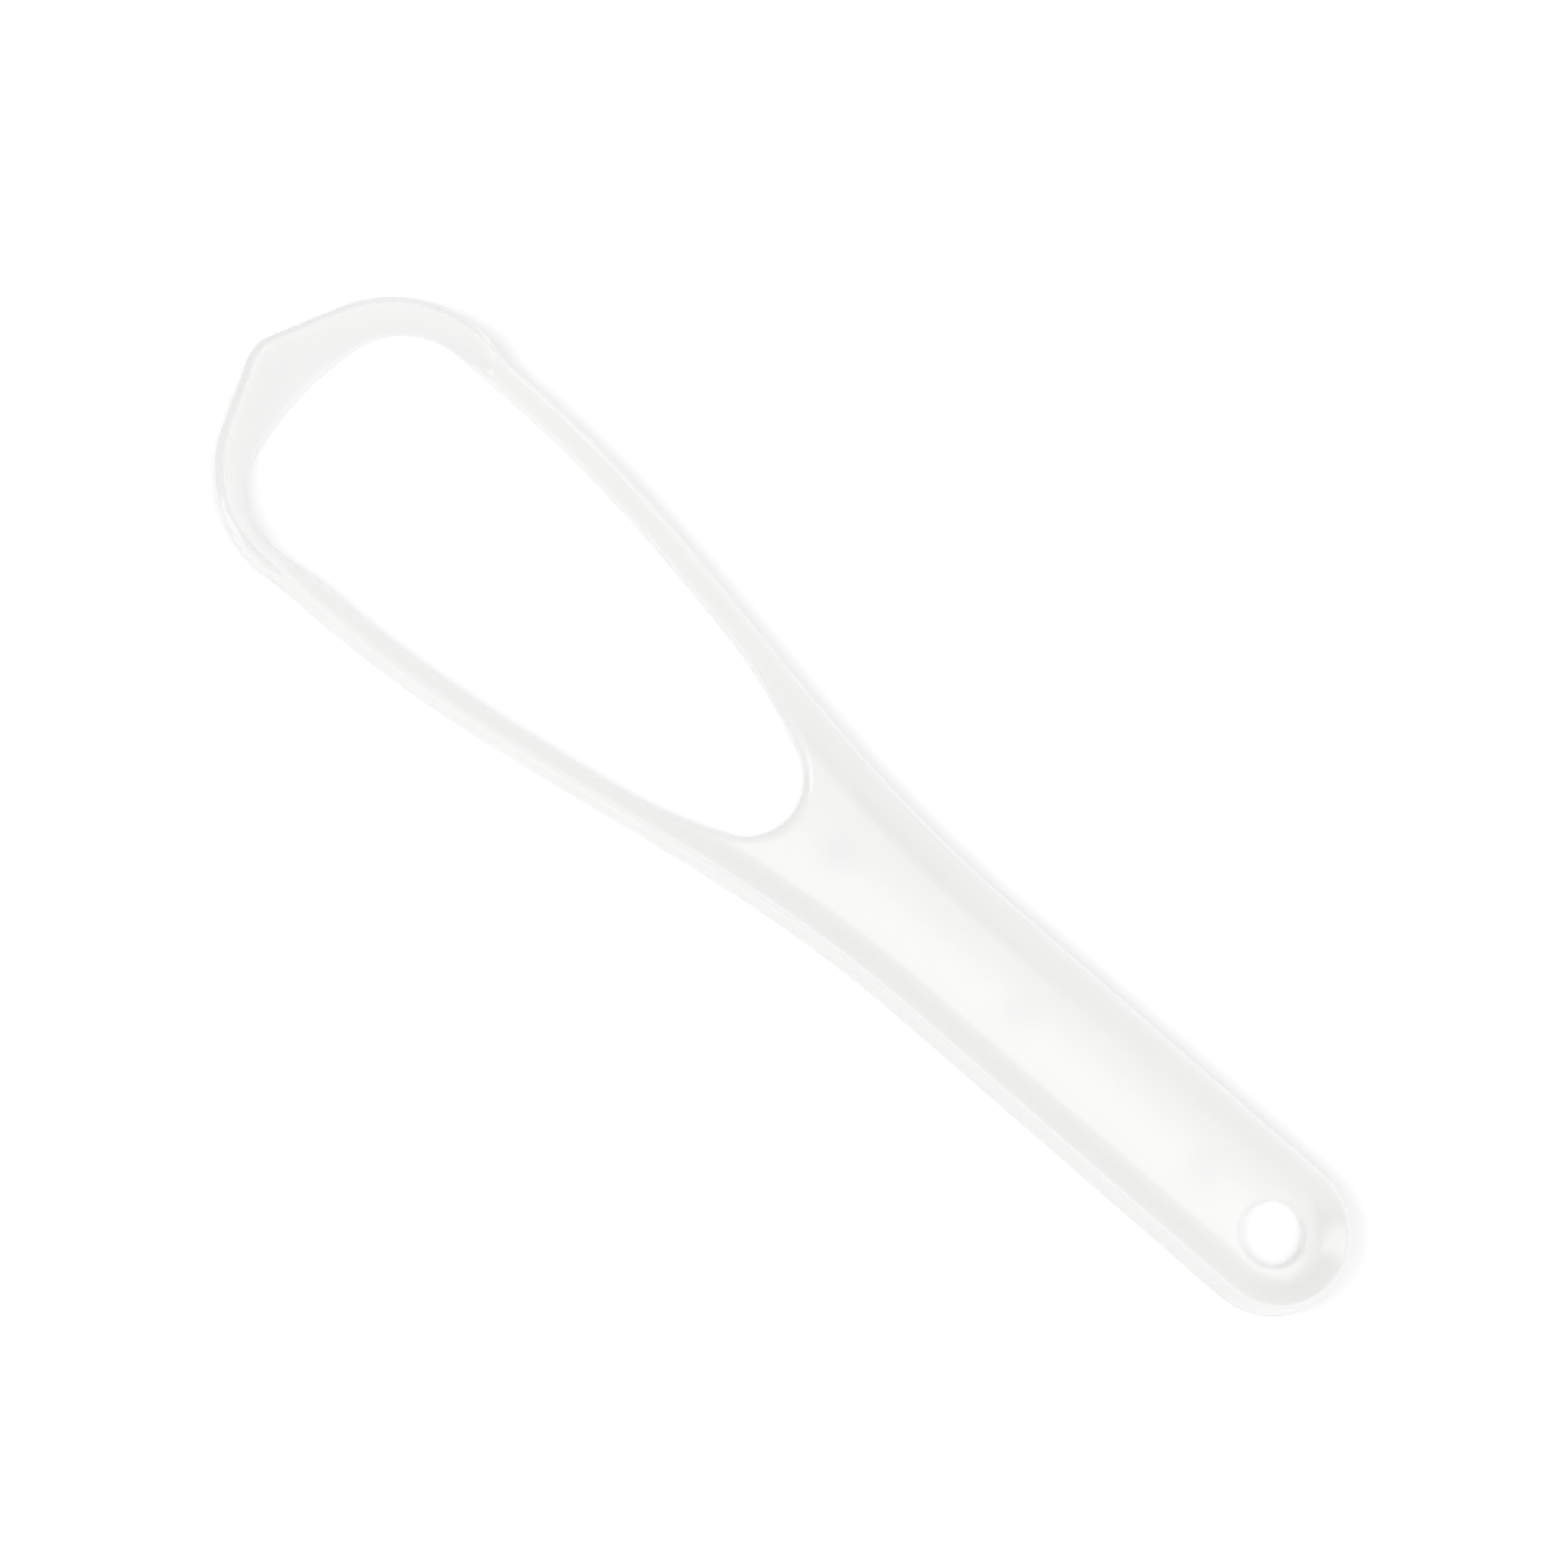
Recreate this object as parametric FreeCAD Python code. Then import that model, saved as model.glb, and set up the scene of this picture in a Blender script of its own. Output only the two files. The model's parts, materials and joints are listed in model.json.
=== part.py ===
# Tongue scraper, moulded in one piece: a dished handle with a hang hole flares into an open loop,
# and a raised, peaked blade closes the loop.
# Frame: +X along the tool towards the blade, +Y to its left, +Z out of the dished face. The origin
# is under the middle of the tool, on its flat underside. All sizes are in millimetres.
import FreeCAD, Part
import math
import os

# Whole tool
overall_length = 160.0

# Handle: a tray with a rounded rim
handle_width = 18.4
straight_length = 46.6      # hang hole to the start of the flare
rim_height = 3.2            # underside to the crest of the rim
floor_thickness = 1.8
rim_radius = 0.9            # outer rounding of the rim
wall_run = 4.0              # crest of the rim to the flat floor, across the tool
foot_radius = 0.6           # rounding of the lower outer edge
hole_diameter = 7.4
tail_reach = 8.0            # hang hole to where the handle counts as its own region

# Flare and arms of the loop
loop_width = 36.7
flare_length = 79.2
flare_lag = 1.05            # above 1, the flare opens later
throat_length = 71.4        # hang hole to the crotch of the loop
crotch_depth = 4.2          # crotch to where its round end runs into the arms
fork_reach = 9.0            # crotch to where each arm counts as its own region
arm_width = 3.0
gusset_width = 2.3          # extra width of an arm where it leaves the crotch
gusset_length = 15.0

# Blade that closes the loop
head_length = 21.9          # end of the arms to the peak
head_width = 37.3
shoulder_radius = 14.7
flank_angle = 23.0          # slope of the peaked outer edge, in degrees
peak_radius = 2.5
middle_band = 6.5           # width of the blade at the peak, seen from above
side_band = 3.3             # the same at the shoulders
inner_corner_radius = 9.1
inner_flank_angle = 9.0     # slope of the inner edge, in degrees
blade_height = 4.6
outer_depth = 2.2           # height of the blade's outer edge
outer_drop = 0.9            # crest of the blade down to the top of its outer edge
blade_foot_radius = 0.5
edge_height = 0.7           # height of the scraping edge
edge_lean = 0.2

# Shares chosen by eye
shoulder_crest_share = 0.62 # place of the blade's crest across its width, where an arm runs into it
front_crest_share = 0.87    # the same along the peaked front
bend_share = 0.45           # place of the bend in the blade's face, from its edge to its crest
bend_sag_share = 0.10       # sag of the face below a straight slope, at that bend
curl_share = 0.04           # bow of each half of the face
front_shares = (0.66, 0.36, 0.13)
corner_angles = (90.0, 70.0, 50.0, 30.0)
morph_shares = ((0.33, 0.26), (0.67, 0.74))   # (place between arm and corner, share of the blade)
diagonal_share = math.sin(math.radians(45.0))

# Counts and the one overrun of all cuts
flare_stations = 10
side_stations = 9
overrun = 5.0

# Places that follow from the sizes
handle_half = handle_width / 2
loop_half = loop_width / 2
head_half = head_width / 2
tail_x = -overall_length / 2
peak_x = overall_length / 2
hole_x = tail_x + handle_half
tail_end_x = hole_x + tail_reach
flare_x = hole_x + straight_length
crotch_x = hole_x + throat_length
arms_x = crotch_x + crotch_depth
fork_end_x = crotch_x + fork_reach
head_x = peak_x - head_length
dish_depth = rim_height - floor_thickness
wall_radius = (wall_run**2 + dish_depth**2) / (4 * dish_depth)
up = FreeCAD.Vector(0, 0, 1)


def half_width(x):
    """Half the tool's outer width at x: straight, then a smooth flare, then straight again."""
    turn = min(max((x - flare_x) / flare_length, 0.0), 1.0)
    return handle_half + (loop_half - handle_half) * (1 - math.cos(math.pi * turn**flare_lag)) / 2


def inner_half_width(x):
    """Half the width of the loop's opening at x, with a gusset near the crotch."""
    gusset = min(max((arms_x + gusset_length - x) / gusset_length, 0.0), 1.0)
    return half_width(x) - arm_width - gusset_width * gusset**2


def wall_top(run):
    """Height of the rim's inner wall, a run of millimetres in from its crest: two tangent arcs."""
    if run <= wall_run / 2:
        return rim_height - wall_radius + math.sqrt(wall_radius**2 - run**2)
    return floor_thickness + wall_radius - math.sqrt(wall_radius**2 - (wall_run - run)**2)


def rounding(corner_y, corner_z, radius, side_y, side_z):
    """Middle of a quarter round of this radius, in the corner that opens to the given sides."""
    inset = radius * (1 - diagonal_share)
    return (corner_y + side_y * inset, corner_z + side_z * inset)


def wire_through(outline, place):
    """Closed wire: the outline lists corners and, before a curved edge's end, its middle point."""
    edges = []
    start = outline[0][-1]
    for step in outline[1:] + outline[:1]:
        points = [place(*point) for point in [start] + list(step)]
        curve = Part.LineSegment(*points) if len(points) == 2 else Part.Arc(*points)
        edges.append(curve.toShape())
        start = step[-1]
    return Part.Wire(edges)


def half_tray(half):
    """Right half of the tray's section as (y, z) steps, from the underside to the floor."""
    crest = half - rim_radius
    floor_y = crest - wall_run
    return [
        [(half - foot_radius, 0)],
        [rounding(half, 0, foot_radius, -1, 1), (half, foot_radius)],
        [(half, rim_height - rim_radius)],
        [rounding(half, rim_height, rim_radius, -1, -1), (crest, rim_height)],
        [(crest - wall_run / 4, wall_top(wall_run / 4)), (crest - wall_run / 2, wall_top(wall_run / 2))],
        [(crest - wall_run * 3 / 4, wall_top(wall_run * 3 / 4)), (floor_y, floor_thickness)],
    ]


def mirrored(steps):
    """The same steps on the other side of the middle, run the other way."""
    flat = [(-point[0], point[1]) for step in steps for point in step]
    flat.reverse()
    back = [[flat[0]]]
    position = 1
    for step in reversed(steps[1:]):
        back.append(flat[position:position + len(step)])
        position += len(step)
    return back


def tray_section(x):
    """Closed section of the dished tray at x, as wide as the tool is there."""
    right = half_tray(half_width(x))
    return wire_through(right + mirrored(right), lambda y, z: FreeCAD.Vector(x, y, z))


def slab(low_x, high_x, low_y, high_y):
    """A box over the tool's whole height, to keep one region of it."""
    size = (high_x - low_x, high_y - low_y, rim_height + 2 * overrun)
    return Part.makeBox(*size, FreeCAD.Vector(low_x, low_y, -overrun))


def straight_tray(low_x, high_x):
    """A straight stretch of the dished handle."""
    return Part.Face(tray_section(low_x)).extrude(FreeCAD.Vector(high_x - low_x, 0, 0))


def make_hang_tail():
    """Half-round end of the tray and the stretch beside it, with the hang hole through its floor."""
    axis_foot = FreeCAD.Vector(hole_x, 0, 0)
    outline = half_tray(handle_half) + [[(0, floor_thickness)], [(0, 0)]]
    section = Part.Face(wire_through(outline, lambda y, z: FreeCAD.Vector(hole_x, y, z)))
    tail = section.revolve(axis_foot, up, 180).fuse(straight_tray(hole_x, tail_end_x)).removeSplitter()
    drill = Part.makeCylinder(hole_diameter / 2, rim_height + 2 * overrun, axis_foot - up * overrun)
    return tail.cut(drill)


def make_loop_body():
    """Flare and arms together: the tray widens, and the opening of the loop is cut through it."""
    step = (head_x - flare_x) / (flare_stations - 1)
    sections = [tray_section(flare_x + step * index) for index in range(flare_stations)]
    return Part.makeLoft(sections, True).cut(make_opening())


def opening_side(side):
    """Edge of the opening along one arm, from the crotch's round end past the end of the arm."""
    step = (head_x + overrun - arms_x) / (side_stations - 1)
    stations = [arms_x + step * index for index in range(side_stations)]
    curve = Part.BSplineCurve()
    curve.interpolate([FreeCAD.Vector(x, side * inner_half_width(x), -overrun) for x in stations])
    return curve


def make_opening():
    """Prism that cuts the loop's opening, with a round crotch."""
    left = opening_side(1)
    right = opening_side(-1)
    crotch = Part.Arc(right.StartPoint, FreeCAD.Vector(crotch_x, 0, -overrun), left.StartPoint)
    mouth = Part.LineSegment(left.EndPoint, right.EndPoint)
    edges = [curve.toShape() for curve in (crotch, left, mouth, right)]
    return Part.Face(Part.Wire(Part.__sortEdges__(edges))).extrude(up * (rim_height + 2 * overrun))


def corner_centre(half, radius, angle, tip_x):
    """Centre of a corner round that runs into a side at this half width and a flank to tip_x."""
    centre_y = half - radius
    slope = math.radians(angle)
    return FreeCAD.Vector(tip_x - (radius + centre_y * math.sin(slope)) / math.cos(slope), centre_y, 0)


# Where the rounds and flanks of the blade's two edges lie
flank_slope = math.radians(flank_angle)
inner_slope = math.radians(inner_flank_angle)
flank_tip_x = peak_x + peak_radius * (1 / math.cos(flank_slope) - 1)
shoulder_centre = corner_centre(head_half, shoulder_radius, flank_angle, flank_tip_x)
inner_tip_x = peak_x - middle_band
inner_half = head_half - side_band
inner_centre = corner_centre(inner_half, inner_corner_radius, inner_flank_angle, inner_tip_x)
front_half = inner_centre.y + inner_corner_radius * math.sin(inner_slope)


def direction(angle):
    """Level unit vector at an angle from +X."""
    return FreeCAD.Vector(math.cos(angle), math.sin(angle), 0)


def outer_reach(start, heading):
    """Distance along a heading from a point to the blade's outer edge: shoulder round or flank."""
    gap = start - shoulder_centre
    along = gap.dot(heading)
    reach = -along + math.sqrt(along**2 - gap.dot(gap) + shoulder_radius**2)
    hit = gap + heading * reach
    if math.atan2(hit.y, hit.x) < flank_slope:
        outward = direction(flank_slope)
        reach = (shoulder_radius - gap.dot(outward)) / heading.dot(outward)
    return reach


def peak_edge_x(y):
    """Outer edge at y near the middle: the flank, rounded at the peak."""
    if y < peak_radius * math.sin(flank_slope):
        return peak_x - peak_radius + math.sqrt(peak_radius**2 - y**2)
    return flank_tip_x - y * math.tan(flank_slope)


def bowed(start, end, bow_share):
    """A step from start to end whose middle is bowed out by a share of its length."""
    run = end[0] - start[0]
    rise = end[1] - start[1]
    return [(start[0] + run / 2 - rise * bow_share, start[1] + rise / 2 + run * bow_share), end]


def blade_outline(width, crest_share):
    """Section of the blade as (out, up) steps from its scraping edge, over its crest and back under."""
    edge = (edge_lean, edge_height)
    crest = (width * crest_share, blade_height)
    rise = crest[1] - edge[1]
    bend = (edge[0] + (crest[0] - edge[0]) * bend_share, edge[1] + rise * (bend_share - bend_sag_share))
    outer_top = blade_height - outer_drop
    outer_foot = outer_top - outer_depth + blade_foot_radius
    outer_run = width - crest[0]
    brow = (crest[0] + outer_run * diagonal_share, blade_height - outer_drop * (1 - diagonal_share))
    return [
        [(0, 0)],
        [edge],
        bowed(edge, bend, -curl_share),
        bowed(bend, crest, curl_share),
        [brow, (width, outer_top)],
        [(width, outer_foot)],
        [rounding(width, outer_foot - blade_foot_radius, blade_foot_radius, -1, 1),
         (width - blade_foot_radius, outer_foot - blade_foot_radius)],
    ]


def arm_outline():
    """Section of an arm's end as the same steps: the rim and what the opening leaves of its wall."""
    run = arm_width - rim_radius
    bend = wall_run / 2 if wall_run / 2 < run else run / 2
    places = [run, (run + bend) / 2, bend, bend / 2]
    foot, low, middle, high = [(run - place, wall_top(place)) for place in places]
    return [
        [(0, 0)],
        [foot],
        [low, middle],
        [high, (run, rim_height)],
        [rounding(arm_width, rim_height, rim_radius, -1, -1), (arm_width, rim_height - rim_radius)],
        [(arm_width, foot_radius)],
        [rounding(arm_width, 0, foot_radius, -1, 1), (arm_width - foot_radius, 0)],
    ]


def morph(first, second, share):
    """Section between two sections with the same steps, this share of the way to the second."""
    return [
        [(a[0] + (b[0] - a[0]) * share, a[1] + (b[1] - a[1]) * share) for a, b in zip(step, other)]
        for step, other in zip(first, second)
    ]


def head_stations():
    """(inner point, heading, section) round the left half of the blade, from the arm to the peak."""
    across = direction(math.pi / 2)
    arm_end = FreeCAD.Vector(head_x, loop_half - arm_width, 0)
    corner = inner_centre + across * inner_corner_radius
    corner_section = blade_outline(outer_reach(corner, across), shoulder_crest_share)
    stations = [(arm_end, across, arm_outline())]
    for place, share in morph_shares:
        point = arm_end + (corner - arm_end) * place
        stations.append((point, across, morph(arm_outline(), corner_section, share)))
    for angle in [math.radians(degrees) for degrees in corner_angles] + [inner_slope]:
        heading = direction(angle)
        point = inner_centre + heading * inner_corner_radius
        turned_share = (math.pi / 2 - angle) / (math.pi / 2 - inner_slope)
        crest_share = shoulder_crest_share + (front_crest_share - shoulder_crest_share) * turned_share
        stations.append((point, heading, blade_outline(outer_reach(point, heading), crest_share)))
    for share in front_shares + (0,):
        y = front_half * share
        point = FreeCAD.Vector(inner_tip_x - y * math.tan(inner_slope), y, 0)
        stations.append((point, direction(0), blade_outline(peak_edge_x(y) - point.x, front_crest_share)))
    return stations


def head_wire(station, side):
    """Closed wire of one station, on the left (1) or the right (-1)."""
    point, heading, outline = station

    def place(out, height):
        spot = point + heading * out
        return FreeCAD.Vector(spot.x, side * spot.y, height)

    return wire_through(outline, place)


def make_scraping_head():
    """Blade lofted round the end of the loop, from the left arm over the peak to the right arm."""
    stations = head_stations()
    wires = [head_wire(station, 1) for station in stations]
    wires += [head_wire(station, -1) for station in reversed(stations[:-1])]
    return Part.makeLoft(wires, True)


def main():
    os.makedirs("parts", exist_ok=True)
    loop_body = make_loop_body()
    reach = loop_half + overrun
    regions = {
        "hang_tail": make_hang_tail(),
        "handle_tray": straight_tray(tail_end_x, flare_x),
        "loop_fork": loop_body.common(slab(flare_x, fork_end_x, -reach, reach)),
        "left_arm": loop_body.common(slab(fork_end_x, head_x, 0, reach)),
        "right_arm": loop_body.common(slab(fork_end_x, head_x, -reach, 0)),
        "scraping_head": make_scraping_head(),
    }
    for name, shape in regions.items():
        solid = shape.Solids[0]
        solid.exportStep(f"parts/{name}.step")
        box = solid.BoundBox
        print(f"{name}: valid {solid.isValid()}, {len(shape.Solids)} solid, volume {solid.Volume:.1f}, "
              f"x {box.XMin:.2f} to {box.XMax:.2f}, y {box.YMin:.2f} to {box.YMax:.2f}, "
              f"z {box.ZMin:.2f} to {box.ZMax:.2f}")


main()
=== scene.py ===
# Looks of the tongue scraper: one moulding of white polypropylene on a plain white floor.
# Frame: +X along the tool towards the blade, +Y to its left, +Z out of the dished face. The origin is
# under the middle of the tool, on its flat underside. Lengths are in metres.
import json
import math
import bpy
from mathutils import Matrix, Vector


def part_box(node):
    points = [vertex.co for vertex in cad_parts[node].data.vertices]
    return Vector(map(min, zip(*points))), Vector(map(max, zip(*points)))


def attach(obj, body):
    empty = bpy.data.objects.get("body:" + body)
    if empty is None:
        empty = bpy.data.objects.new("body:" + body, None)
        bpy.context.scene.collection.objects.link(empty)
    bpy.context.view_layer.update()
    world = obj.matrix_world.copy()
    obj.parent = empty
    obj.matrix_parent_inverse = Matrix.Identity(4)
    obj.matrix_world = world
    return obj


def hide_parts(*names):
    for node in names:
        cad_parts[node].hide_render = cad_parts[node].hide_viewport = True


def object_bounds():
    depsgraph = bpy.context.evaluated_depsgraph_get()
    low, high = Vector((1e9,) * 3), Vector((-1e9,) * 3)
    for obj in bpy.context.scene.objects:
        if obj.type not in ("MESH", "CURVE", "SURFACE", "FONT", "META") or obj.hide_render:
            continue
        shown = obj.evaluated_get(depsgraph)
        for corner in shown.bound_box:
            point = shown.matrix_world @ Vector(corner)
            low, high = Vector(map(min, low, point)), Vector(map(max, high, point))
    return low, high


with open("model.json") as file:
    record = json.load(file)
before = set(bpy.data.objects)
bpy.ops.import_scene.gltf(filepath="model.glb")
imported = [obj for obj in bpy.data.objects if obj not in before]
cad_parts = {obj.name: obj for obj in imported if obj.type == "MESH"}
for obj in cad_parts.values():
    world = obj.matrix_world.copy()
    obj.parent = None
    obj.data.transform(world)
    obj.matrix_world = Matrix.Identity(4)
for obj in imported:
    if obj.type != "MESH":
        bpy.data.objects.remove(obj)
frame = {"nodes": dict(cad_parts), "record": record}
cad_low, cad_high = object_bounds()

# Sizes that the frame gives
millimetre = 0.001
hang_hole = next(mount for mount in frame["record"]["mounts"] if mount["name"] == "hang_hole")
hole_x = hang_hole["pos_m"][0]
hole_radius = hang_hole["dims"]["r_mm"] * millimetre
floor_thickness = hang_hole["dims"]["length_mm"] * millimetre
handle_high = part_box("handle_tray")[1]
handle_half = handle_high.y
rim_height = handle_high.z
flare_x = handle_high.x     # where the handle begins to widen
arm_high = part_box("left_arm")[1]
loop_half = arm_high.y
head_x = arm_high.x         # where the arms begin to turn into the blade
head_half = cad_high.y
peak_x = cad_high.x

# Handle: rim, wall, dished floor and edges
rim_inset = 0.0009          # crest of the rim in from the outline, because the side leans in
rim_round = 0.0003          # rounding of the rim's outer edge
foot_radius = 0.0001        # rounding of the lower outer edge
crest_radius = 0.0008       # rounding from the rim's crest into the wall
wall_slope = math.radians(27.0)
heel_blend = 0.0005         # height over which the wall and the floor run into each other
floor_dish = 0.00025        # how much lower the floor is at the tool's middle than at the walls
hole_round = 0.0006         # rounding of the hang hole's upper edge
edge_round = 0.00035        # the same on the loop
crotch_round = 0.0012       # the same at the crotch, where the loop's edge is softer
under_round = 0.00006       # rounding of the lower edges of hole and loop

# Flare, crotch and arms of the loop
flare_length = 0.0792
flare_lag = 1.05            # above 1, the flare opens later
crotch_reach = 0.0714       # from the hang hole to the crotch
crotch_depth = 0.0042       # from the crotch to where its round end runs into the arms
arm_width = 0.0030
gusset_width = 0.0023       # extra width of an arm where it leaves the crotch
gusset_length = 0.0150

# Blade
shoulder_radius = 0.0147
flank_slope = math.radians(23.0)
peak_radius = 0.0045
middle_band = 0.0065        # width of the blade at the peak, seen from above
side_band = 0.0033          # the same at the shoulders
inner_radius = 0.0091
inner_slope = math.radians(9.0)
inner_bend = 0.0060         # half of the stretch over which the scraping edge turns at the middle
blade_height = 0.0046
shoulder_drop = 0.0009      # crest of the blade down to the top of its outer edge, at the shoulders
front_drop = 0.0012         # the same along the peaked front, where a steep facet lies between them
facet_run = 0.00115         # run of that facet, and of the step that it becomes at the shoulders
facet_round_share = 0.40    # part of its run that is rounded over at the crest
lip_round = 0.00025         # rounding of the outer edge's top
outer_foot = 0.0006         # height of the lower end of the blade's outer edge
blade_foot_radius = 0.0005
edge_height = 0.0007        # height of the scraping edge
edge_lean = 0.0002
ledge_share = 0.65          # flat part of the step outside the crest, at the shoulders
crest_level_share = 0.12    # how far the blade's face stays level at its crest
slant_run_share = 0.40      # run and fall of its slant at the scraping edge
slant_fall_share = 0.30

# Marks that the mould's ejector pins leave on the underside
pin_radius = 0.0020
arm_pin_radius = 0.0009
pin_depth = 0.00012
pin_places = (0.10, 0.50, 0.90)     # shares of the way from the hang hole to the crotch
arm_pin_places = (0.30, 0.80)       # shares of the way from the crotch to the blade

# How finely the skin is divided
wall_cuts = 16
heel_cuts = 12
floor_cuts = 10
rim_cuts = 20
lip_cuts = 5                # of the rim's cuts, those in the blade's outer lip
foot_cuts = 5
side_cuts = 4
edge_cuts = 5
tail_cuts = 40
hole_cuts = 24
handle_cuts = 56
crotch_cuts = 28
arm_cuts = 54
morph_cuts = 16             # from the arm's section to the blade's
corner_cuts = 40
front_cuts = 30
pin_cuts = 48
fan_reach = 0.0075          # length of the outline that the rows round the hole's far half fan out to
crotch_fan = 0.0035         # how far before the crotch the rows round its end begin on the outline
arm_reach_share = 0.7       # part of an arm's width that the wall's cuts cover
weld_gap = 0.000002
crease_angle = math.radians(45)

# Places that follow
crotch_x = hole_x + crotch_reach
arms_x = crotch_x + crotch_depth
crest_run = crest_radius * math.sin(wall_slope)
crest_tangent = crest_radius * math.tan(wall_slope / 2)
# From the outline to the wall's foot, the run of the blend on each side of it, and where that ends
foot_reach = rim_inset + crest_tangent + (rim_height - floor_thickness) / math.tan(wall_slope)
heel_zone = heel_blend / math.tan(wall_slope)
full_reach = foot_reach + heel_zone
# Where the blend starts, as a share of the way from the rim's crest to its end
heel_share = (foot_reach - heel_zone - rim_inset) / (full_reach - rim_inset)
# At the tail the wall's rows end short of the hang hole's rounded edge
tail_reach = min(full_reach, handle_half - hole_radius - 2 * hole_round)
hole_middle = Vector((hole_x, 0, 0))
to_middle = Vector((0, -1, 0))
to_side = Vector((0, 1, 0))


def blend(first, second, share):
    return first + (second - first) * share


def steps(first, second, cuts):
    """Evenly spaced values or points from the first to the second, both included."""
    return [blend(first, second, step / cuts) for step in range(cuts + 1)]


def clamped(share):
    return min(max(share, 0.0), 1.0)


def eased(share):
    """The same share, with a soft start and a soft end."""
    return share * share * (3 - 2 * share)


def bent(start, corner, end, share):
    """Point on the curve that leaves its start towards a corner and comes to its end from there."""
    return start * (1 - share)**2 + corner * 2 * share * (1 - share) + end * share**2


def heading(angle):
    """Level direction at an angle from +X towards +Y."""
    return Vector((math.cos(angle), math.sin(angle), 0))


def raised(spot, height):
    return Vector((spot.x, spot.y, height))


# Outline of the tool and of its opening, seen from above
def half_width(x):
    turn = clamped((x - flare_x) / flare_length)
    return handle_half + (loop_half - handle_half) * (1 - math.cos(math.pi * turn**flare_lag)) / 2


def opening_half(x):
    gusset = clamped((arms_x + gusset_length - x) / gusset_length)
    return half_width(x) - arm_width - gusset_width * gusset**2


crotch_half = opening_half(arms_x)
crotch_radius = (crotch_half**2 + crotch_depth**2) / (2 * crotch_depth)
crotch_middle = Vector((crotch_x + crotch_radius, 0, 0))
crotch_turn = math.pi - math.asin(crotch_half / crotch_radius)


def face_height(spot):
    """Height of the dished face at a spot: rounded crest, straight wall, gently hollow floor."""
    if spot.x < hole_x:
        half = handle_half
        reach = half - math.hypot(spot.x - hole_x, spot.y)
    else:
        half = half_width(spot.x)
        reach = half - spot.y
    run = reach - rim_inset
    if run < crest_run:
        wall = rim_height - crest_radius + math.sqrt(crest_radius**2 - run**2)
    else:
        wall = rim_height - (run - crest_tangent) * math.tan(wall_slope)
    inward_share = clamped((reach - foot_reach) / (half - foot_reach))
    hollow = floor_thickness - floor_dish * (1 - (1 - inward_share)**2)
    overlap = clamped(1 - abs(wall - hollow) / heel_blend)
    return max(wall, hollow) + heel_blend * overlap**2 / 4


# Rows of the skin. Each runs from the inner end of the underside, round the outer edge, to the inner end
# of the face. One sweep of such rows gives the smooth change from tray to arm to blade.
skin = []
hole_edge = []
loop_edge = []


def rounded_corner(start, corner, end, cuts):
    return [bent(start, corner, end, share) for share in steps(0, 1, cuts)]


def rounded_foot(middle, radius):
    """Quarter round up from the underside to a side, as (depth, height)."""
    turns = steps(0, math.pi / 2, foot_cuts)[1:]
    return [middle + Vector((-math.sin(turn), -math.cos(turn))) * radius for turn in turns]


def outer_edge(outer, inward):
    """Points up the leaning side of the tray, without the two ends that belong to underside and face."""
    foot = rounded_foot(Vector((foot_radius, foot_radius)), foot_radius)
    brow = Vector((rim_inset - rim_round, rim_height))
    side_top = brow + (foot[-1] - brow).normalized() * rim_round
    rim = rounded_corner(side_top, brow, Vector((rim_inset, rim_height)), rim_cuts)
    profile = foot + steps(foot[-1], side_top, side_cuts)[1:-1] + rim[:-1]
    return [raised(outer + inward * point.x, point.y) for point in profile]


def across(outer, inward, inner, first_reach, wall_reach):
    """Plan of a row: square to the outline over the wall, then straight to its inner end."""
    shares = steps(0, heel_share, wall_cuts) + steps(heel_share, 1, heel_cuts)[1:]
    spots = [outer + inward * blend(first_reach, wall_reach, share) for share in shares]
    return spots + steps(spots[-1], inner, floor_cuts)[1:]


def tray_row(outer, inward, face_end, under_end, wall_reach):
    """A row over underside, outer edge and dished face."""
    underside = across(outer, inward, under_end, foot_radius, wall_reach)
    face = across(outer, inward, face_end, rim_inset, wall_reach)
    return underside[::-1] + outer_edge(outer, inward) + [raised(spot, face_height(spot)) for spot in face]


def rounded_edge(row, high_corner, low_corner, high_round):
    """Row over an inner edge, from the face's end to the underside's, with both corners rounded."""
    down = (low_corner - high_corner).normalized()
    top = rounded_corner(row[-1], high_corner, high_corner + down * high_round, edge_cuts)
    return top + rounded_corner(low_corner - down * under_round, low_corner, row[0], edge_cuts)


def add_edged_row(edge_rows, outer, inward, edge, away, wall_reach, high_round):
    """A row of the tray that ends at the hang hole or the loop, and the row over its edge."""
    row = tray_row(outer, inward, edge + away * high_round, edge + away * under_round, wall_reach)
    skin.append(row)
    edge_rows.append(rounded_edge(row, raised(edge, face_height(edge)), raised(edge, 0), high_round))


def lay_tail():
    """The tray turns about the hang hole, and on the hole's far side its rows fan out to the handle."""
    for angle in steps(math.pi, math.pi / 2, tail_cuts):
        out = heading(angle)
        outer = hole_middle + out * handle_half
        add_edged_row(hole_edge, outer, -out, hole_middle + out * hole_radius, out, tail_reach, hole_round)
    for share in steps(0, 1, hole_cuts)[1:]:
        out = heading(math.pi / 2 * (1 - share))
        outer = Vector((hole_x + fan_reach * share, handle_half, 0))
        add_edged_row(hole_edge, outer, to_middle, hole_middle + out * hole_radius, out,
                      blend(tail_reach, full_reach, share), hole_round)


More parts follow.
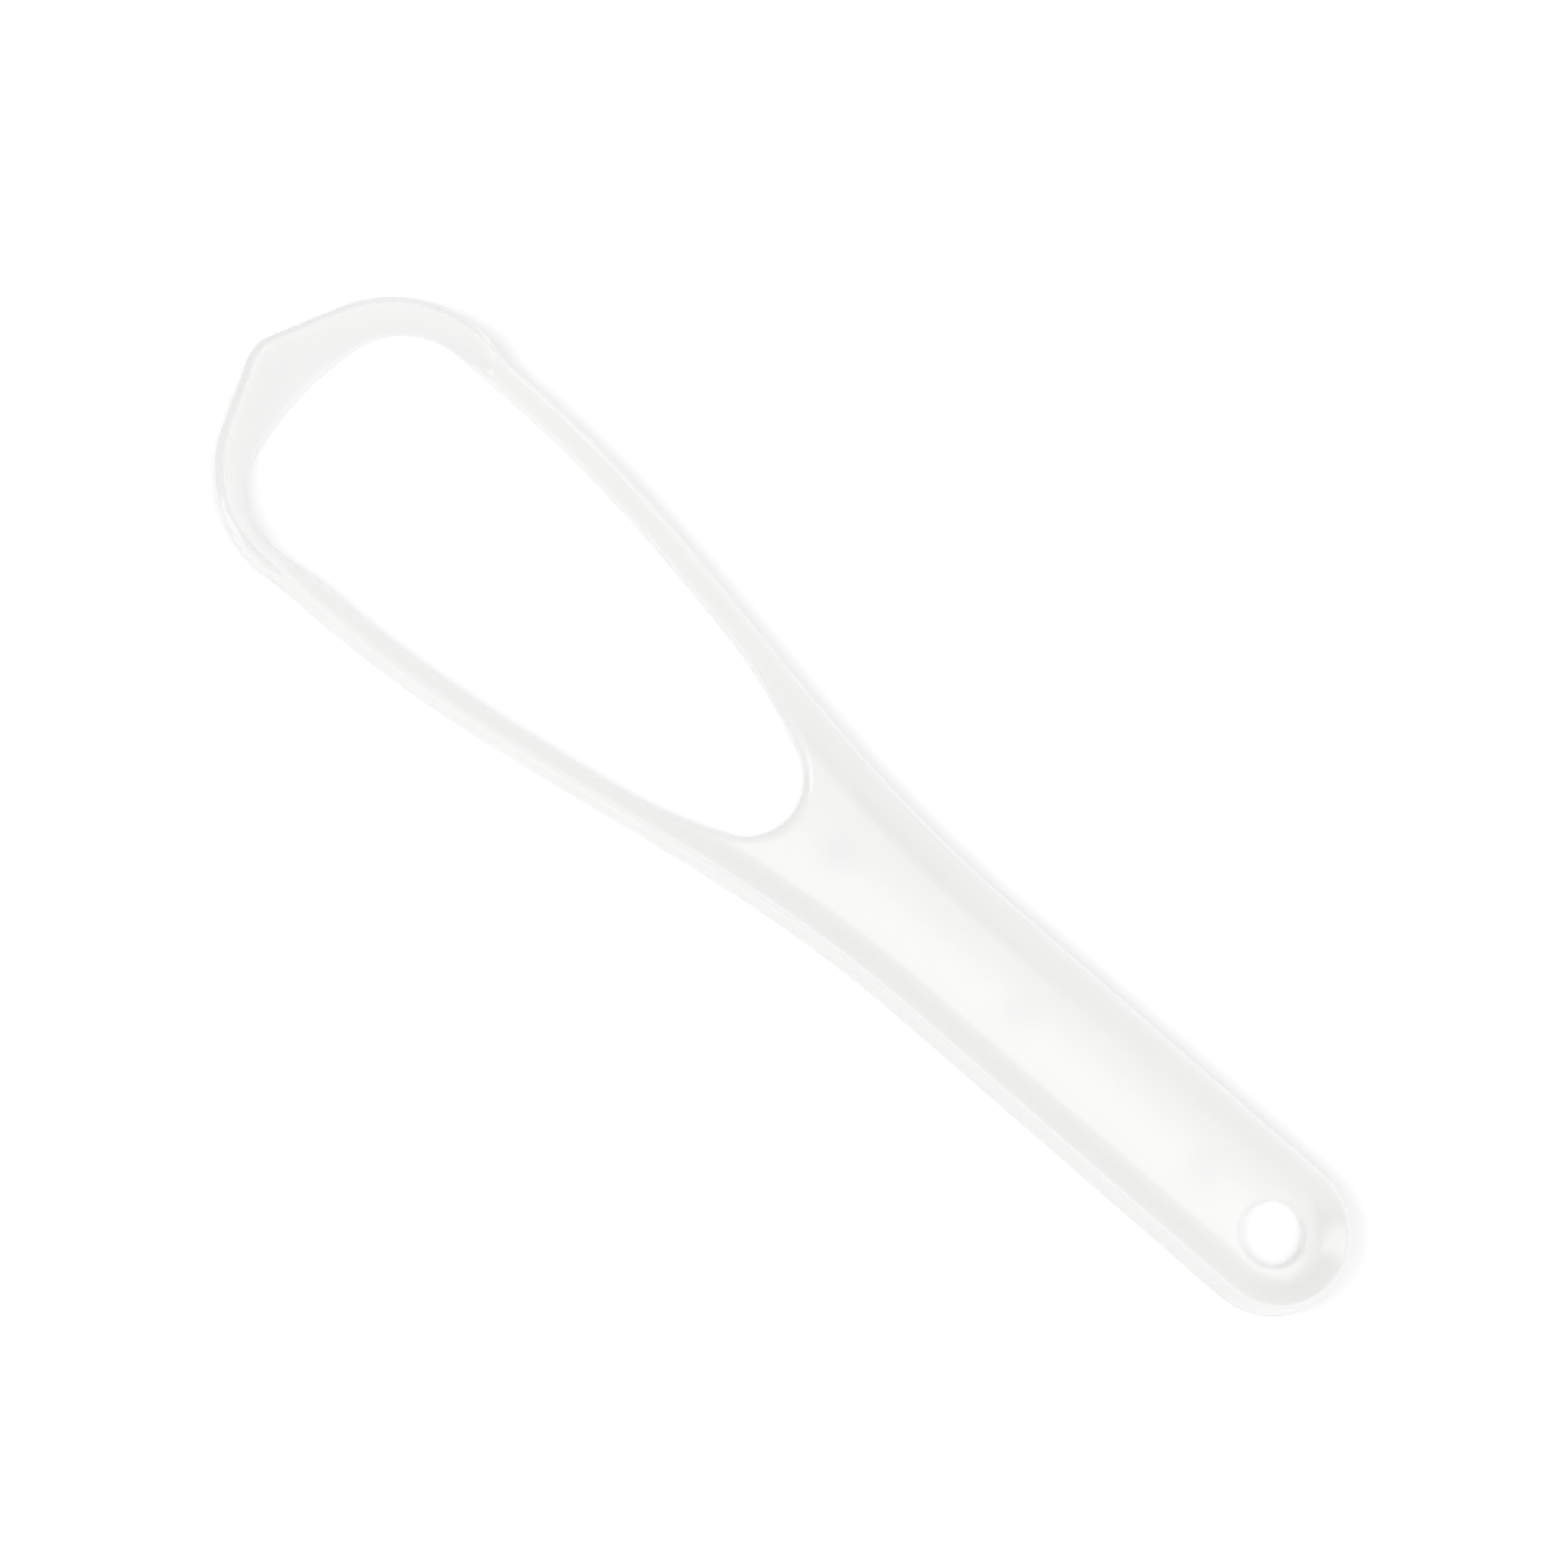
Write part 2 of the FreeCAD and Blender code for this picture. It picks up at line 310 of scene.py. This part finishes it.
def lay_handle():
    """Rows from the outline to the tool's middle."""
    face_ends = steps(hole_x + hole_radius + hole_round, crotch_x - crotch_round, handle_cuts)
    under_ends = steps(hole_x + hole_radius + under_round, crotch_x - under_round, handle_cuts)
    outlines = steps(hole_x + fan_reach, crotch_x - crotch_fan, handle_cuts)
    for face_x, under_x, outer_x in list(zip(face_ends, under_ends, outlines))[1:]:
        outer = Vector((outer_x, half_width(outer_x), 0))
        skin.append(tray_row(outer, to_middle, Vector((face_x, 0, 0)), Vector((under_x, 0, 0)), full_reach))
    crotch = Vector((crotch_x, 0, 0))
    loop_edge.append(rounded_edge(skin[-1], raised(crotch, face_height(crotch)), crotch, crotch_round))


def loop_round(x):
    """Rounding of the loop's upper edge, which sharpens along the gussets."""
    return blend(crotch_round, edge_round, eased(clamped((x - arms_x) / gusset_length)))


def lay_crotch():
    """Rows fan out from the crotch's round end."""
    arm_reach = (half_width(arms_x) - crotch_half) * arm_reach_share
    for share in steps(0, 1, crotch_cuts)[1:]:
        out = heading(blend(math.pi, crotch_turn, share))
        away = blend(out, to_side, eased(share)).normalized()
        outer_x = blend(crotch_x - crotch_fan, arms_x, share)
        outer = Vector((outer_x, half_width(outer_x), 0))
        add_edged_row(loop_edge, outer, to_middle, crotch_middle + out * crotch_radius, away,
                      blend(full_reach, arm_reach, eased(share)), crotch_round)


def lay_arm():
    """Rows straight across an arm, from the outline to the loop."""
    for x in steps(arms_x, head_x, arm_cuts)[1:]:
        outer = Vector((x, half_width(x), 0))
        edge = Vector((x, opening_half(x), 0))
        add_edged_row(loop_edge, outer, to_middle, edge, to_side,
                      (outer.y - edge.y) * arm_reach_share, loop_round(x))


# Blade: where the rounds and flanks of its two edges lie
def corner_middle(half, radius, slope, tip_x):
    """Centre of a corner round that runs into a side at this half width and a flank to tip_x."""
    y = half - radius
    return Vector((tip_x - (radius + y * math.sin(slope)) / math.cos(slope), y, 0))


peak_middle = Vector((peak_x - peak_radius, 0, 0))
flank_tip_x = peak_x + peak_radius * (1 / math.cos(flank_slope) - 1)
shoulder_middle = corner_middle(head_half, shoulder_radius, flank_slope, flank_tip_x)
inner_tip_x = peak_x - middle_band
inner_middle = corner_middle(head_half - side_band, inner_radius, inner_slope, inner_tip_x)
front_half = inner_middle.y + inner_radius * math.sin(inner_slope)


def circle_reach(start, out, middle, radius):
    """Distance from a point inside a circle to the circle."""
    gap = start - middle
    along = gap.dot(out)
    return math.sqrt(along**2 - gap.dot(gap) + radius**2) - along


def outer_reach(start, out):
    """Distance from a point to the blade's outer edge: shoulder round, flank or peak round."""
    reach = circle_reach(start, out, shoulder_middle, shoulder_radius)
    hit = start + out * reach - shoulder_middle
    if math.atan2(hit.y, hit.x) >= flank_slope:
        return reach
    square = heading(flank_slope)
    reach = (shoulder_radius - (start - shoulder_middle).dot(square)) / out.dot(square)
    if (start + out * reach).y >= peak_radius * math.sin(flank_slope):
        return reach
    return circle_reach(start, out, peak_middle, peak_radius)


def inner_edge_x(y):
    """Scraping edge near the middle: two flanks that turn into each other."""
    if y > inner_bend:
        return inner_tip_x - y * math.tan(inner_slope)
    return inner_tip_x - (inner_bend + y**2 / inner_bend) / 2 * math.tan(inner_slope)


def blade_profile(width, drop, ledge):
    """Row across the blade as (out from its scraping edge, up), and the edge's two corners."""
    crest = Vector((width - facet_run, blade_height))
    outer_top = Vector((width, blade_height - drop))
    high_corner = Vector((edge_lean, edge_height))
    low_corner = Vector((0, 0))
    foot_start = Vector((width - blade_foot_radius, outer_foot))
    face_cuts = wall_cuts + heel_cuts + floor_cuts
    under = (foot_start - low_corner).normalized()
    points = steps(low_corner + under * under_round, foot_start, face_cuts)
    foot = rounded_foot(Vector((blade_foot_radius, outer_foot + blade_foot_radius)), blade_foot_radius)
    points += [Vector((width - point.x, point.y)) for point in foot]
    bend = Vector((blend(crest.x, outer_top.x, facet_round_share), crest.y))
    slope = []
    for share in steps(lip_round / facet_run, 1, rim_cuts - lip_cuts):
        facet = bent(outer_top, bend, crest, share)
        rise = eased(clamped((share - ledge) / (1 - ledge)))
        step = Vector((blend(outer_top.x, crest.x, share), blend(outer_top.y, crest.y, rise)))
        slope.append(blend(facet, step, ledge / ledge_share))
    lip_start = outer_top - Vector((0, lip_round))
    points += steps(points[-1], lip_start, side_cuts)[1:-1]
    points += rounded_corner(lip_start, outer_top, slope[0], lip_cuts) + slope[1:-1]
    fall = high_corner - crest
    level = crest + Vector((fall.x * crest_level_share, 0))
    slant = high_corner - Vector((fall.x * slant_run_share, fall.y * slant_fall_share))
    face_end = high_corner + (slant - high_corner).normalized() * edge_round
    face = [crest * (1 - t)**3 + level * 3 * t * (1 - t)**2 + slant * 3 * t**2 * (1 - t) + face_end * t**3
            for t in steps(0, 1, face_cuts)]
    return points + face, high_corner, low_corner


def placed(start, out, profile):
    """Points of a blade's profile, set upright on the line out from its scraping edge."""
    return [start + out * point.x + Vector((0, 0, point.y)) for point in profile]


def add_blade_row(start, out, profile, high_corner, low_corner):
    """A row of the blade, and the row over its scraping edge."""
    row = placed(start, out, profile)
    skin.append(row)
    loop_edge.append(rounded_edge(row, *placed(start, out, [high_corner, low_corner]), edge_round))


def lay_blade():
    """The arm's section changes into the blade's, which then follows the shoulder and the front."""
    arm_edge = Vector((head_x, opening_half(head_x), 0))
    arm_profile = [Vector((point.y - arm_edge.y, point.z)) for point in skin[-1]]
    arm_corners = [Vector((0, face_height(arm_edge))), Vector((0, 0))]
    corner_start = inner_middle + to_side * inner_radius
    corner_width = outer_reach(corner_start, to_side)
    corner_profile, *corner_corners = blade_profile(corner_width, shoulder_drop, ledge_share)
    for place in steps(0, 1, morph_cuts)[1:]:
        share = eased(place)
        profile = [blend(a, b, share) for a, b in zip(arm_profile, corner_profile)]
        corners = [blend(a, b, share) for a, b in zip(arm_corners, corner_corners)]
        add_blade_row(blend(arm_edge, corner_start, place), to_side, profile, *corners)
    for place in steps(0, 1, corner_cuts)[1:]:
        out = heading(blend(math.pi / 2, inner_slope, place))
        start = inner_middle + out * inner_radius
        drop = blend(shoulder_drop, front_drop, eased(place))
        ledge = ledge_share * (1 - eased(place))
        add_blade_row(start, out, *blade_profile(outer_reach(start, out), drop, ledge))
    for y in steps(front_half, 0, front_cuts)[1:]:
        out = heading(inner_slope * y / front_half)
        start = Vector((inner_edge_x(y), y, 0))
        add_blade_row(start, out, *blade_profile(outer_reach(start, out), front_drop, 0))


# The moulding from its rows
def select_only(*pieces):
    """Selects these pieces and nothing else. The last becomes the active one."""
    bpy.ops.object.select_all(action="DESELECT")
    for piece in pieces:
        piece.select_set(True)
    bpy.context.view_layer.objects.active = pieces[-1]


def laid_sheet(rows):
    """A grid primitive laid over rows of points."""
    bpy.ops.object.select_all(action="DESELECT")
    bpy.ops.mesh.primitive_grid_add(x_subdivisions=len(rows[0]) - 1, y_subdivisions=len(rows) - 1)
    sheet = bpy.context.object
    sheet.data.vertices.foreach_set("co", [value for row in rows for point in row for value in point])
    return sheet


def ejector_pins():
    """Pins that press into the underside, joined as one cutter."""
    spots = [(pin_radius, blend(hole_x + hole_radius, crotch_x, place), 0) for place in pin_places]
    for place in arm_pin_places:
        x = blend(arms_x, head_x, place)
        middle = (half_width(x) + opening_half(x)) / 2
        spots += [(arm_pin_radius, x, middle), (arm_pin_radius, x, -middle)]
    pins = []
    for radius, x, y in spots:
        bpy.ops.object.select_all(action="DESELECT")
        bpy.ops.mesh.primitive_cylinder_add(vertices=pin_cuts, radius=radius, depth=2 * pin_depth,
                                            location=(x, y, 0))
        pins.append(bpy.context.object)
    select_only(*pins)
    bpy.ops.object.join()
    return bpy.context.object


def apply_modifier(piece, name, kind, **settings):
    """Adds a modifier with its settings and applies it."""
    modifier = piece.modifiers.new(name, kind)
    for setting, value in settings.items():
        setattr(modifier, setting, value)
    select_only(piece)
    bpy.ops.object.modifier_apply(modifier=name)


def make_moulding():
    """The left half's sheets, mirrored and welded into one closed skin, with the pin marks cut into it."""
    lay_tail()
    lay_handle()
    lay_crotch()
    lay_arm()
    lay_blade()
    select_only(*[laid_sheet(rows) for rows in (hole_edge, loop_edge, skin)])
    bpy.ops.object.join()
    moulding = bpy.context.object
    moulding.name = moulding.data.name = "scraper_moulding"
    apply_modifier(moulding, "other half", "MIRROR", use_axis=(False, True, False),
                   merge_threshold=weld_gap)
    bpy.ops.object.mode_set(mode="EDIT")
    bpy.ops.mesh.select_all(action="SELECT")
    bpy.ops.mesh.remove_doubles(threshold=weld_gap)
    bpy.ops.mesh.normals_make_consistent(inside=False)
    bpy.ops.object.mode_set(mode="OBJECT")
    pins = ejector_pins()
    apply_modifier(moulding, "pin marks", "BOOLEAN", operation="DIFFERENCE", object=pins)
    bpy.data.objects.remove(pins)
    select_only(moulding)
    bpy.ops.object.shade_smooth_by_angle(angle=crease_angle)
    return moulding


# Materials
def linear(hex_colour):
    """sRGB hex colour as linear RGBA."""
    parts = [int(hex_colour[place:place + 2], 16) / 255 for place in (1, 3, 5)]
    return [part / 12.92 if part <= 0.04045 else ((part + 0.055) / 1.055)**2.4 for part in parts] + [1.0]


def add_node(tree, kind, settings=(), values=(), links=()):
    """Adds a node with its settings, its input values and the outputs that its inputs link to."""
    node = tree.nodes.new(kind)
    for name, value in dict(settings).items():
        setattr(node, name, value)
    for socket, value in dict(values).items():
        node.inputs[socket].default_value = value
    for socket, output in dict(links).items():
        tree.links.new(output, node.inputs[socket])
    return node


def polypropylene():
    """White polypropylene, moulded in a polished tool: a clean, slightly milky white with a soft gloss.
    The gloss wavers a little where the melt cooled unevenly, and the skin has a faint orange peel."""
    dull_white = linear("#F4F4F3")
    clear_white = linear("#F5F5F4")
    refraction = 1.49           # of polypropylene
    smoothest = 0.13
    roughest = 0.17
    milkiness = 0.6
    scatter_depth = 0.0012      # how far light spreads under the skin
    scatter_tint = (1.0, 1.0, 0.9)
    flow_size = 0.012           # length of one waver of the gloss
    flow_detail = 3.0
    peel_size = 0.0012          # width of one dimple of the orange peel
    peel_detail = 1.0
    peel_height = 0.0000015
    material = bpy.data.materials.new("white moulded polypropylene")
    material.use_nodes = True
    tree = material.node_tree
    shader = tree.nodes["Principled BSDF"]
    shader.inputs["IOR"].default_value = refraction
    shader.inputs["Subsurface Weight"].default_value = milkiness
    shader.inputs["Subsurface Radius"].default_value = scatter_tint
    shader.inputs["Subsurface Scale"].default_value = scatter_depth
    place = add_node(tree, "ShaderNodeTexCoord").outputs["Object"]
    flow = add_node(tree, "ShaderNodeTexNoise", values={"Scale": 1 / flow_size, "Detail": flow_detail},
                    links={"Vector": place})
    tint = add_node(tree, "ShaderNodeMixRGB", values={"Color1": dull_white, "Color2": clear_white},
                    links={"Fac": flow.outputs["Fac"]})
    gloss = add_node(tree, "ShaderNodeMapRange", values={"To Min": smoothest, "To Max": roughest},
                     links={"Value": flow.outputs["Fac"]})
    peel = add_node(tree, "ShaderNodeTexNoise", values={"Scale": 1 / peel_size, "Detail": peel_detail},
                    links={"Vector": place})
    skin_bump = add_node(tree, "ShaderNodeBump", values={"Strength": 1.0, "Distance": peel_height},
                         links={"Height": peel.outputs["Fac"]})
    tree.links.new(tint.outputs["Color"], shader.inputs["Base Color"])
    tree.links.new(gloss.outputs["Result"], shader.inputs["Roughness"])
    tree.links.new(skin_bump.outputs["Normal"], shader.inputs["Normal"])
    return material


moulding = make_moulding()
moulding.data.materials.append(polypropylene())
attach(moulding, "root")
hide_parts(*frame["nodes"])

# Studio: floor, tent and lamps
floor_size = 6.0
paper_roughness = 0.9
tent_fill = 1.125           # strength of the tent's light, over the handle and overhead
tent_end_fill = 0.48        # the same at its open end, beyond the blade
tent_falloff = 4.0          # above 1, the tent stays bright until nearer to that end
skirt_height = 0.65         # sine of the angle above the floor up to which the tent is darker
skirt_share = 0.44          # share of its light that is left at the floor
lamp_distance = 0.8         # from the origin to each lamp
lens_radius = 0.085         # radius of the camera's dark front

# Camera: it leans towards the tool's left and turns so that the blade points to the upper left
camera_tilt = math.radians(14.9)
camera_roll = math.radians(40.93)
camera_distance = 0.330
pixel = 0.0000934           # length on the tool that one pixel of the picture covers
image_side = 1880
sensor = 36.0               # width of the camera's sensor in millimetres
look_at = Vector((0, 0, 0.0016))
shift_left = 14             # pixels by which the camera moves, so that the tool isn't in the very middle
shift_up = 41
along_tool = Vector((1, 0, 0))
across_tool = Vector((0, -math.cos(camera_tilt), math.sin(camera_tilt)))
camera_back = Vector((0, math.sin(camera_tilt), math.cos(camera_tilt)))
camera_right = across_tool * math.sin(camera_roll) - along_tool * math.cos(camera_roll)
camera_up = along_tool * math.sin(camera_roll) + across_tool * math.cos(camera_roll)


def seen(tree):
    """One for what eye, mirror and glass see, and nought for light that falls on things."""
    path = add_node(tree, "ShaderNodeLightPath")
    mirror = add_node(tree, "ShaderNodeMath", {"operation": "MAXIMUM"},
                      links={0: path.outputs["Is Camera Ray"], 1: path.outputs["Is Glossy Ray"]})
    glass = add_node(tree, "ShaderNodeMath", {"operation": "MAXIMUM"},
                     links={0: mirror.outputs["Value"], 1: path.outputs["Is Transmission Ray"]})
    return glass.outputs["Value"]


def studio_paper():
    """White paper, matt, so that it shows only the soft shadow of the tool."""
    material = bpy.data.materials.new("white studio paper")
    material.use_nodes = True
    shader = material.node_tree.nodes["Principled BSDF"]
    shader.inputs["Base Color"].default_value = linear("#FCFCFC")
    shader.inputs["Roughness"].default_value = paper_roughness
    shader.inputs["Specular IOR Level"].default_value = 0.0
    return material


def make_floor():
    """Paper at the top of the foot's rounding, so that no dark slit shows under the tool's side."""
    bpy.ops.object.select_all(action="DESELECT")
    bpy.ops.mesh.primitive_plane_add(size=floor_size, location=(0, 0, foot_radius))
    floor = bpy.context.object
    floor.name = "floor"
    floor.data.materials.append(studio_paper())
    return floor


def light_world():
    """A white light tent that grows darker towards the floor, and beyond the blade, where it is open.
    Eye and gloss see it as plain white."""
    world = bpy.data.worlds.new("studio")
    bpy.context.scene.world = world
    world.use_nodes = True
    tree = world.node_tree
    direction = add_node(tree, "ShaderNodeTexCoord").outputs["Generated"]
    parts = add_node(tree, "ShaderNodeSeparateXYZ", links={"Vector": direction})
    towards = add_node(tree, "ShaderNodeMapRange", values={"From Min": -1.0},
                       links={"Value": parts.outputs["X"]})
    opening = add_node(tree, "ShaderNodeMath", {"operation": "POWER"}, {1: tent_falloff},
                       {0: towards.outputs["Result"]})
    strength = add_node(tree, "ShaderNodeMapRange", values={"To Min": tent_fill, "To Max": tent_end_fill},
                        links={"Value": opening.outputs["Value"]})
    height = add_node(tree, "ShaderNodeMath", {"operation": "ABSOLUTE"}, links={0: parts.outputs["Z"]})
    skirt = add_node(tree, "ShaderNodeMapRange",
                     values={"From Max": skirt_height, "To Min": skirt_share},
                     links={"Value": height.outputs["Value"]})
    glow = add_node(tree, "ShaderNodeMath", {"operation": "MULTIPLY"},
                    links={0: strength.outputs["Result"], 1: skirt.outputs["Result"]})
    fill = tree.nodes["Background"]
    fill.inputs["Color"].default_value = linear("#FFFFFF")
    tree.links.new(glow.outputs["Value"], fill.inputs["Strength"])
    white = add_node(tree, "ShaderNodeBackground", values={"Color": linear("#FFFFFF"), "Strength": 1.0})
    mix = add_node(tree, "ShaderNodeMixShader",
                   links={0: seen(tree), 1: fill.outputs["Background"], 2: white.outputs["Background"]})
    tree.links.new(mix.outputs["Shader"], tree.nodes["World Output"].inputs["Surface"])


def turned(right, upward, back):
    """Turn that faces a camera or lamp away from its back."""
    return Matrix((right, upward, back)).transposed().to_4x4()


def softbox(name, towards, tilt, width, depth, power, sheen_only=False):
    """A lamp that faces the tool, tilted from straight above towards a heading."""
    data = bpy.data.lights.new(name, "AREA")
    data.shape = "ELLIPSE"
    data.size = width
    data.size_y = depth
    data.energy = power
    lamp = bpy.data.objects.new(name, data)
    bpy.context.scene.collection.objects.link(lamp)
    out = towards.normalized() * math.sin(tilt) + Vector((0, 0, math.cos(tilt)))
    side = Vector((0, 0, 1)).cross(out).normalized()
    lamp.matrix_world = turned(side, out.cross(side), out)
    lamp.location = out * lamp_distance
    lamp.visible_diffuse = not sheen_only
    return lamp


def place_camera():
    """The camera, with a lens that gives a pixel its length on the tool."""
    data = bpy.data.cameras.new("camera")
    data.sensor_width = sensor
    data.lens = sensor * camera_distance / (pixel * image_side)
    camera = bpy.data.objects.new("camera", data)
    bpy.context.scene.collection.objects.link(camera)
    camera.matrix_world = turned(camera_right, camera_up, camera_back)
    move = (camera_right * shift_left - camera_up * shift_up) * pixel
    camera.location = look_at + camera_back * camera_distance - move
    bpy.context.scene.camera = camera


def dark_lens():
    """The dark front of the camera, which only the gloss mirrors."""
    bpy.ops.object.select_all(action="DESELECT")
    bpy.ops.mesh.primitive_circle_add(radius=lens_radius, fill_type="NGON")
    lens = bpy.context.object
    lens.name = "lens"
    lens.matrix_world = bpy.context.scene.camera.matrix_world
    lens.visible_camera = False
    lens.visible_diffuse = False
    lens.visible_shadow = False
    lens.visible_transmission = False
    material = bpy.data.materials.new("black lens front")
    material.use_nodes = True
    shader = material.node_tree.nodes["Principled BSDF"]
    shader.inputs["Base Color"].default_value = linear("#101010")
    lens.data.materials.append(material)


floor = make_floor()
place_camera()
light_world()
dark_lens()

# Three lamps that show only in the gloss, and a weak one that lifts the tool's left side
softbox("overhead sheen", towards=Vector((-0.4, -1, 0)), tilt=math.radians(25), width=0.5, depth=0.3,
        power=0.58, sheen_only=True)
softbox("side fill", towards=to_side, tilt=math.radians(70), width=0.4, depth=0.3, power=0.20)
softbox("end sheen", towards=heading(math.radians(28)), tilt=math.radians(27), width=0.4, depth=0.4,
        power=1.0, sheen_only=True)
softbox("left sheen", towards=-camera_right, tilt=math.radians(50), width=0.3, depth=0.3,
        power=0.5, sheen_only=True)

# The lamp that throws the tool's soft shadow to the right lights only the floor
key = softbox("left softbox", towards=-camera_right, tilt=math.radians(42), width=0.4, depth=0.4,
              power=1.25)
shaded = bpy.data.collections.new("ground that takes the shadow")
shaded.objects.link(floor)
key.light_linking.receiver_collection = shaded
bpy.context.scene.view_settings.view_transform = "Standard"
